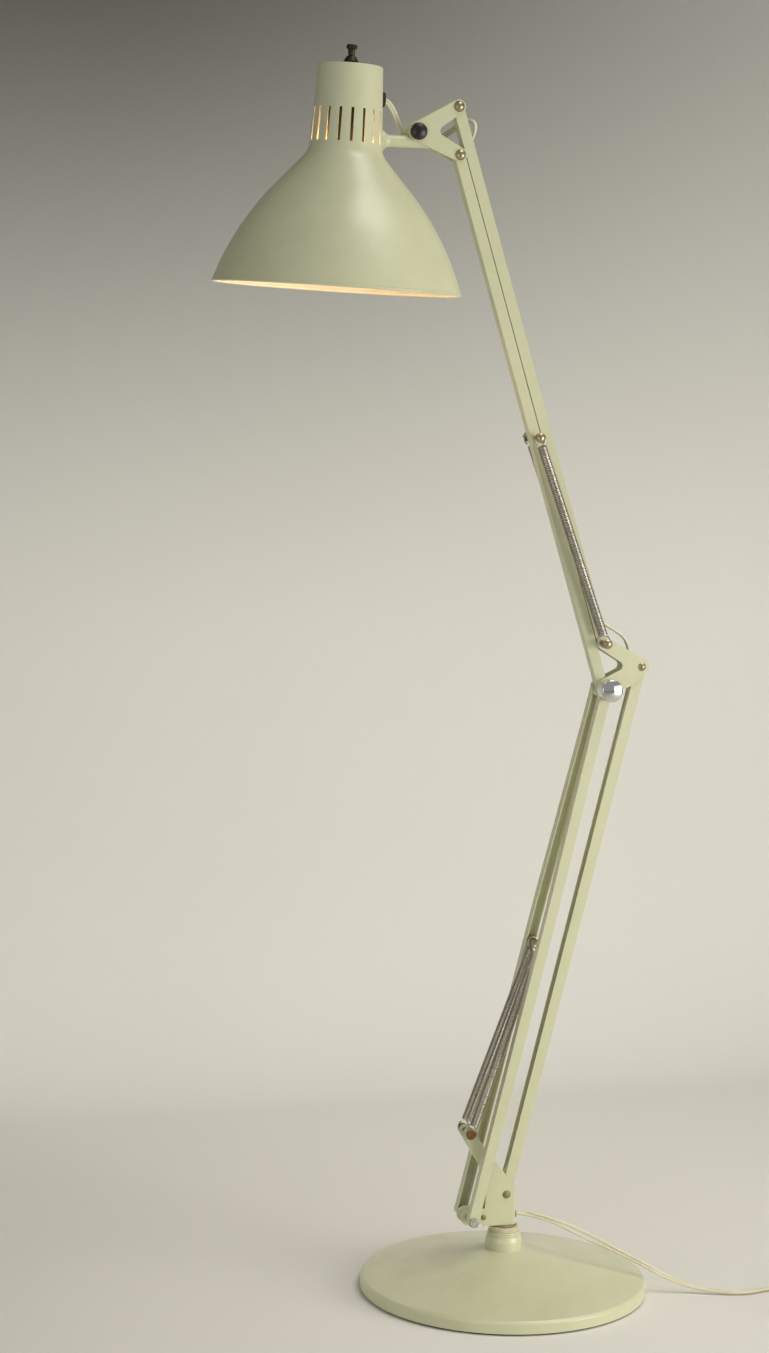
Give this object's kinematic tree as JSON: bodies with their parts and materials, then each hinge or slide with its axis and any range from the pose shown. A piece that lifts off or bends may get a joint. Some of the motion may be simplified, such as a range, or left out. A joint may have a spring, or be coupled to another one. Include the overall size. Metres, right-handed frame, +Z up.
{
  "type": "adjustable arm floor lamp",
  "caption": "Floor lamp with a round weighted base, two sprung parallel-bar arms that keep the head level, and a vented bell shade that tilts and turns.",
  "frame": {"origin": "centre of the base's underside on the floor", "axes": "+Z up; the arms move in the XZ plane with the head towards -X; the knee's clamp knob is on the -Y side"},
  "size_m": [0.6897, 0.3139, 1.2115],
  "materials": {
    "cream_enamel": "satin pale cream-green enamel",
    "plain_steel": "tarnished nickel-plated steel",
    "spring_steel": "plain spring steel",
    "ivory_flex": "soft ivory flex",
    "felt": "dark felt",
    "cream_bushing": "moulded bushing",
    "black_rubber": "black rubber",
    "tie_plastic": "flat tie",
    "ivory_plug": "moulded plug",
    "brass": "bare brass",
    "chrome": "polished chrome",
    "black_plastic": "black moulding",
    "dark_metal": "dark metal",
    "bulb_glass": "frosted glass",
    "bulb_cap": "rolled cap"
  },
  "bodies": {
    "base": {"base_disc": "cream_enamel", "base_felt": "felt", "base_collar": "cream_enamel", "collar_bushing": "cream_bushing", "floor_cord": "ivory_flex", "cord_coil": "ivory_flex", "coil_tie": "tie_plastic", "plug_body": "ivory_plug", "plug_pins": "brass"},
    "bracket": {"swivel_stem": "plain_steel", "bracket_sheet": "cream_enamel", "bracket_tie_screw": "plain_steel", "lower_pivot_bolt": "plain_steel", "lower_pivot_nut": "plain_steel", "lower_pivot_sleeves": "plain_steel", "rear_bar_rivet": "plain_steel", "finger_pin": "plain_steel", "exit_bush": "black_rubber", "bracket_cord": "ivory_flex", "lower_spring_front": "spring_steel", "lower_spring_back": "spring_steel"},
    "rear_bar": {"rear_bar": "cream_enamel", "rear_bar_cord": "ivory_flex"},
    "lower_arm": {"lower_bar_front": "cream_enamel", "lower_bar_back": "cream_enamel", "spring_cross_pin": "plain_steel"},
    "knee": {"knee_plate_front": "cream_enamel", "knee_plate_back": "cream_enamel", "knee_bolt": "plain_steel", "knee_sleeves": "plain_steel", "knee_rivet": "plain_steel", "knee_spring_screw": "plain_steel", "upper_spring_front": "spring_steel", "upper_spring_back": "spring_steel"},
    "knee_knob": {"knee_knob": "chrome"},
    "upper_bar_front": {"upper_bar_front": "cream_enamel", "upper_spring_screw": "plain_steel"},
    "upper_bar_rear": {"upper_bar_rear": "cream_enamel", "upper_bar_cord": "ivory_flex"},
    "head_bracket": {"head_plate_front": "cream_enamel", "head_plate_back": "cream_enamel", "head_screw_lower": "plain_steel", "head_screw_upper": "plain_steel", "head_clamp_screw": "plain_steel", "head_cord_loop": "ivory_flex"},
    "clamp_knob": {"head_clamp_knob": "black_plastic"},
    "knuckle": {"head_knuckle": "cream_enamel", "head_cord_knuckle": "ivory_flex"},
    "shade": {"head_stub": "cream_enamel", "stub_nut": "plain_steel", "shade_neck": "cream_enamel", "shade_bell": "cream_enamel", "lamp_holder": "black_plastic", "bulb_glass": "bulb_glass", "bulb_cap": "bulb_cap", "switch_body": "black_plastic", "switch_nut": "dark_metal", "cord_grommet": "black_rubber", "head_cord_neck": "ivory_flex"},
    "switch_knob": {"switch_knob": "dark_metal"}
  },
  "joints": [
    {"name": "swivel", "type": "hinge", "parent": "base", "child": "bracket", "pos_m": [0, 0, 0], "axis": [0, 0, 1], "range_deg": [-120, 120], "deforming": ["floor_cord"]},
    {"name": "lower_tilt", "type": "hinge", "parent": "bracket", "child": "rear_bar", "pos_m": [-0.0005, 0, 0.098], "axis": [0, 1, 0], "range_deg": [-33, 31], "deforming": ["bracket_cord"]},
    {"name": "lower_arm_tilt", "type": "hinge", "parent": "bracket", "child": "lower_arm", "pos_m": [-0.0395, 0, 0.077], "axis": [0, 1, 0], "range_deg": [-33, 31], "deforming": ["lower_spring_front", "lower_spring_back"]},
    {"name": "knee_level", "type": "hinge", "parent": "rear_bar", "child": "knee", "pos_m": [0.12671, 0, 0.62383], "axis": [0, 1, 0], "range_deg": [-31, 33], "deforming": ["rear_bar_cord"]},
    {"name": "upper_tilt", "type": "hinge", "parent": "knee", "child": "upper_bar_rear", "pos_m": [0.08551, 0, 0.64783], "axis": [0, 1, 0], "range_deg": [-90, 0.5], "deforming": ["upper_bar_cord"]},
    {"name": "upper_front_tilt", "type": "hinge", "parent": "knee", "child": "upper_bar_front", "pos_m": [0.08771, 0, 0.60283], "axis": [0, 1, 0], "range_deg": [-90, 0.5], "deforming": ["upper_spring_front", "upper_spring_back"]},
    {"name": "head_level", "type": "hinge", "parent": "upper_bar_rear", "child": "head_bracket", "pos_m": [-0.07403, 0, 1.15849], "axis": [0, 1, 0], "range_deg": [-0.5, 90], "deforming": ["head_cord_loop"]},
    {"name": "head_tilt", "type": "hinge", "parent": "head_bracket", "child": "knuckle", "pos_m": [-0.11403, 0, 1.13359], "axis": [0, 1, 0], "range_deg": [-8, 75], "deforming": ["head_cord_knuckle"]},
    {"name": "head_turn", "type": "hinge", "parent": "knuckle", "child": "shade", "pos_m": [-0.11833, 0, 1.12449], "axis": [1, 0, 0], "range_deg": [-80, 80], "deforming": ["head_cord_neck"]},
    {"name": "switch_turn", "type": "hinge", "parent": "shade", "child": "switch_knob", "pos_m": [-0.17915, -0.00095, 1.19245], "axis": [0.0454, -0.0139, 0.9989], "range_deg": [0, 90]},
    {"name": "knee_knob_turn", "type": "hinge", "parent": "knee", "child": "knee_knob", "pos_m": [0.08771, 0, 0.60283], "axis": [0, 1, 0], "range_deg": [-180, 180]},
    {"name": "clamp_knob_turn", "type": "hinge", "parent": "head_bracket", "child": "clamp_knob", "pos_m": [-0.11403, 0, 1.13359], "axis": [0, 1, 0], "range_deg": [-180, 180]}
  ],
  "couplings": [
    {"joint": "lower_arm_tilt", "follows": "lower_tilt", "ratio": 1},
    {"joint": "knee_level", "follows": "lower_tilt", "ratio": -1},
    {"joint": "upper_front_tilt", "follows": "upper_tilt", "ratio": 1},
    {"joint": "head_level", "follows": "upper_tilt", "ratio": -1}
  ]
}
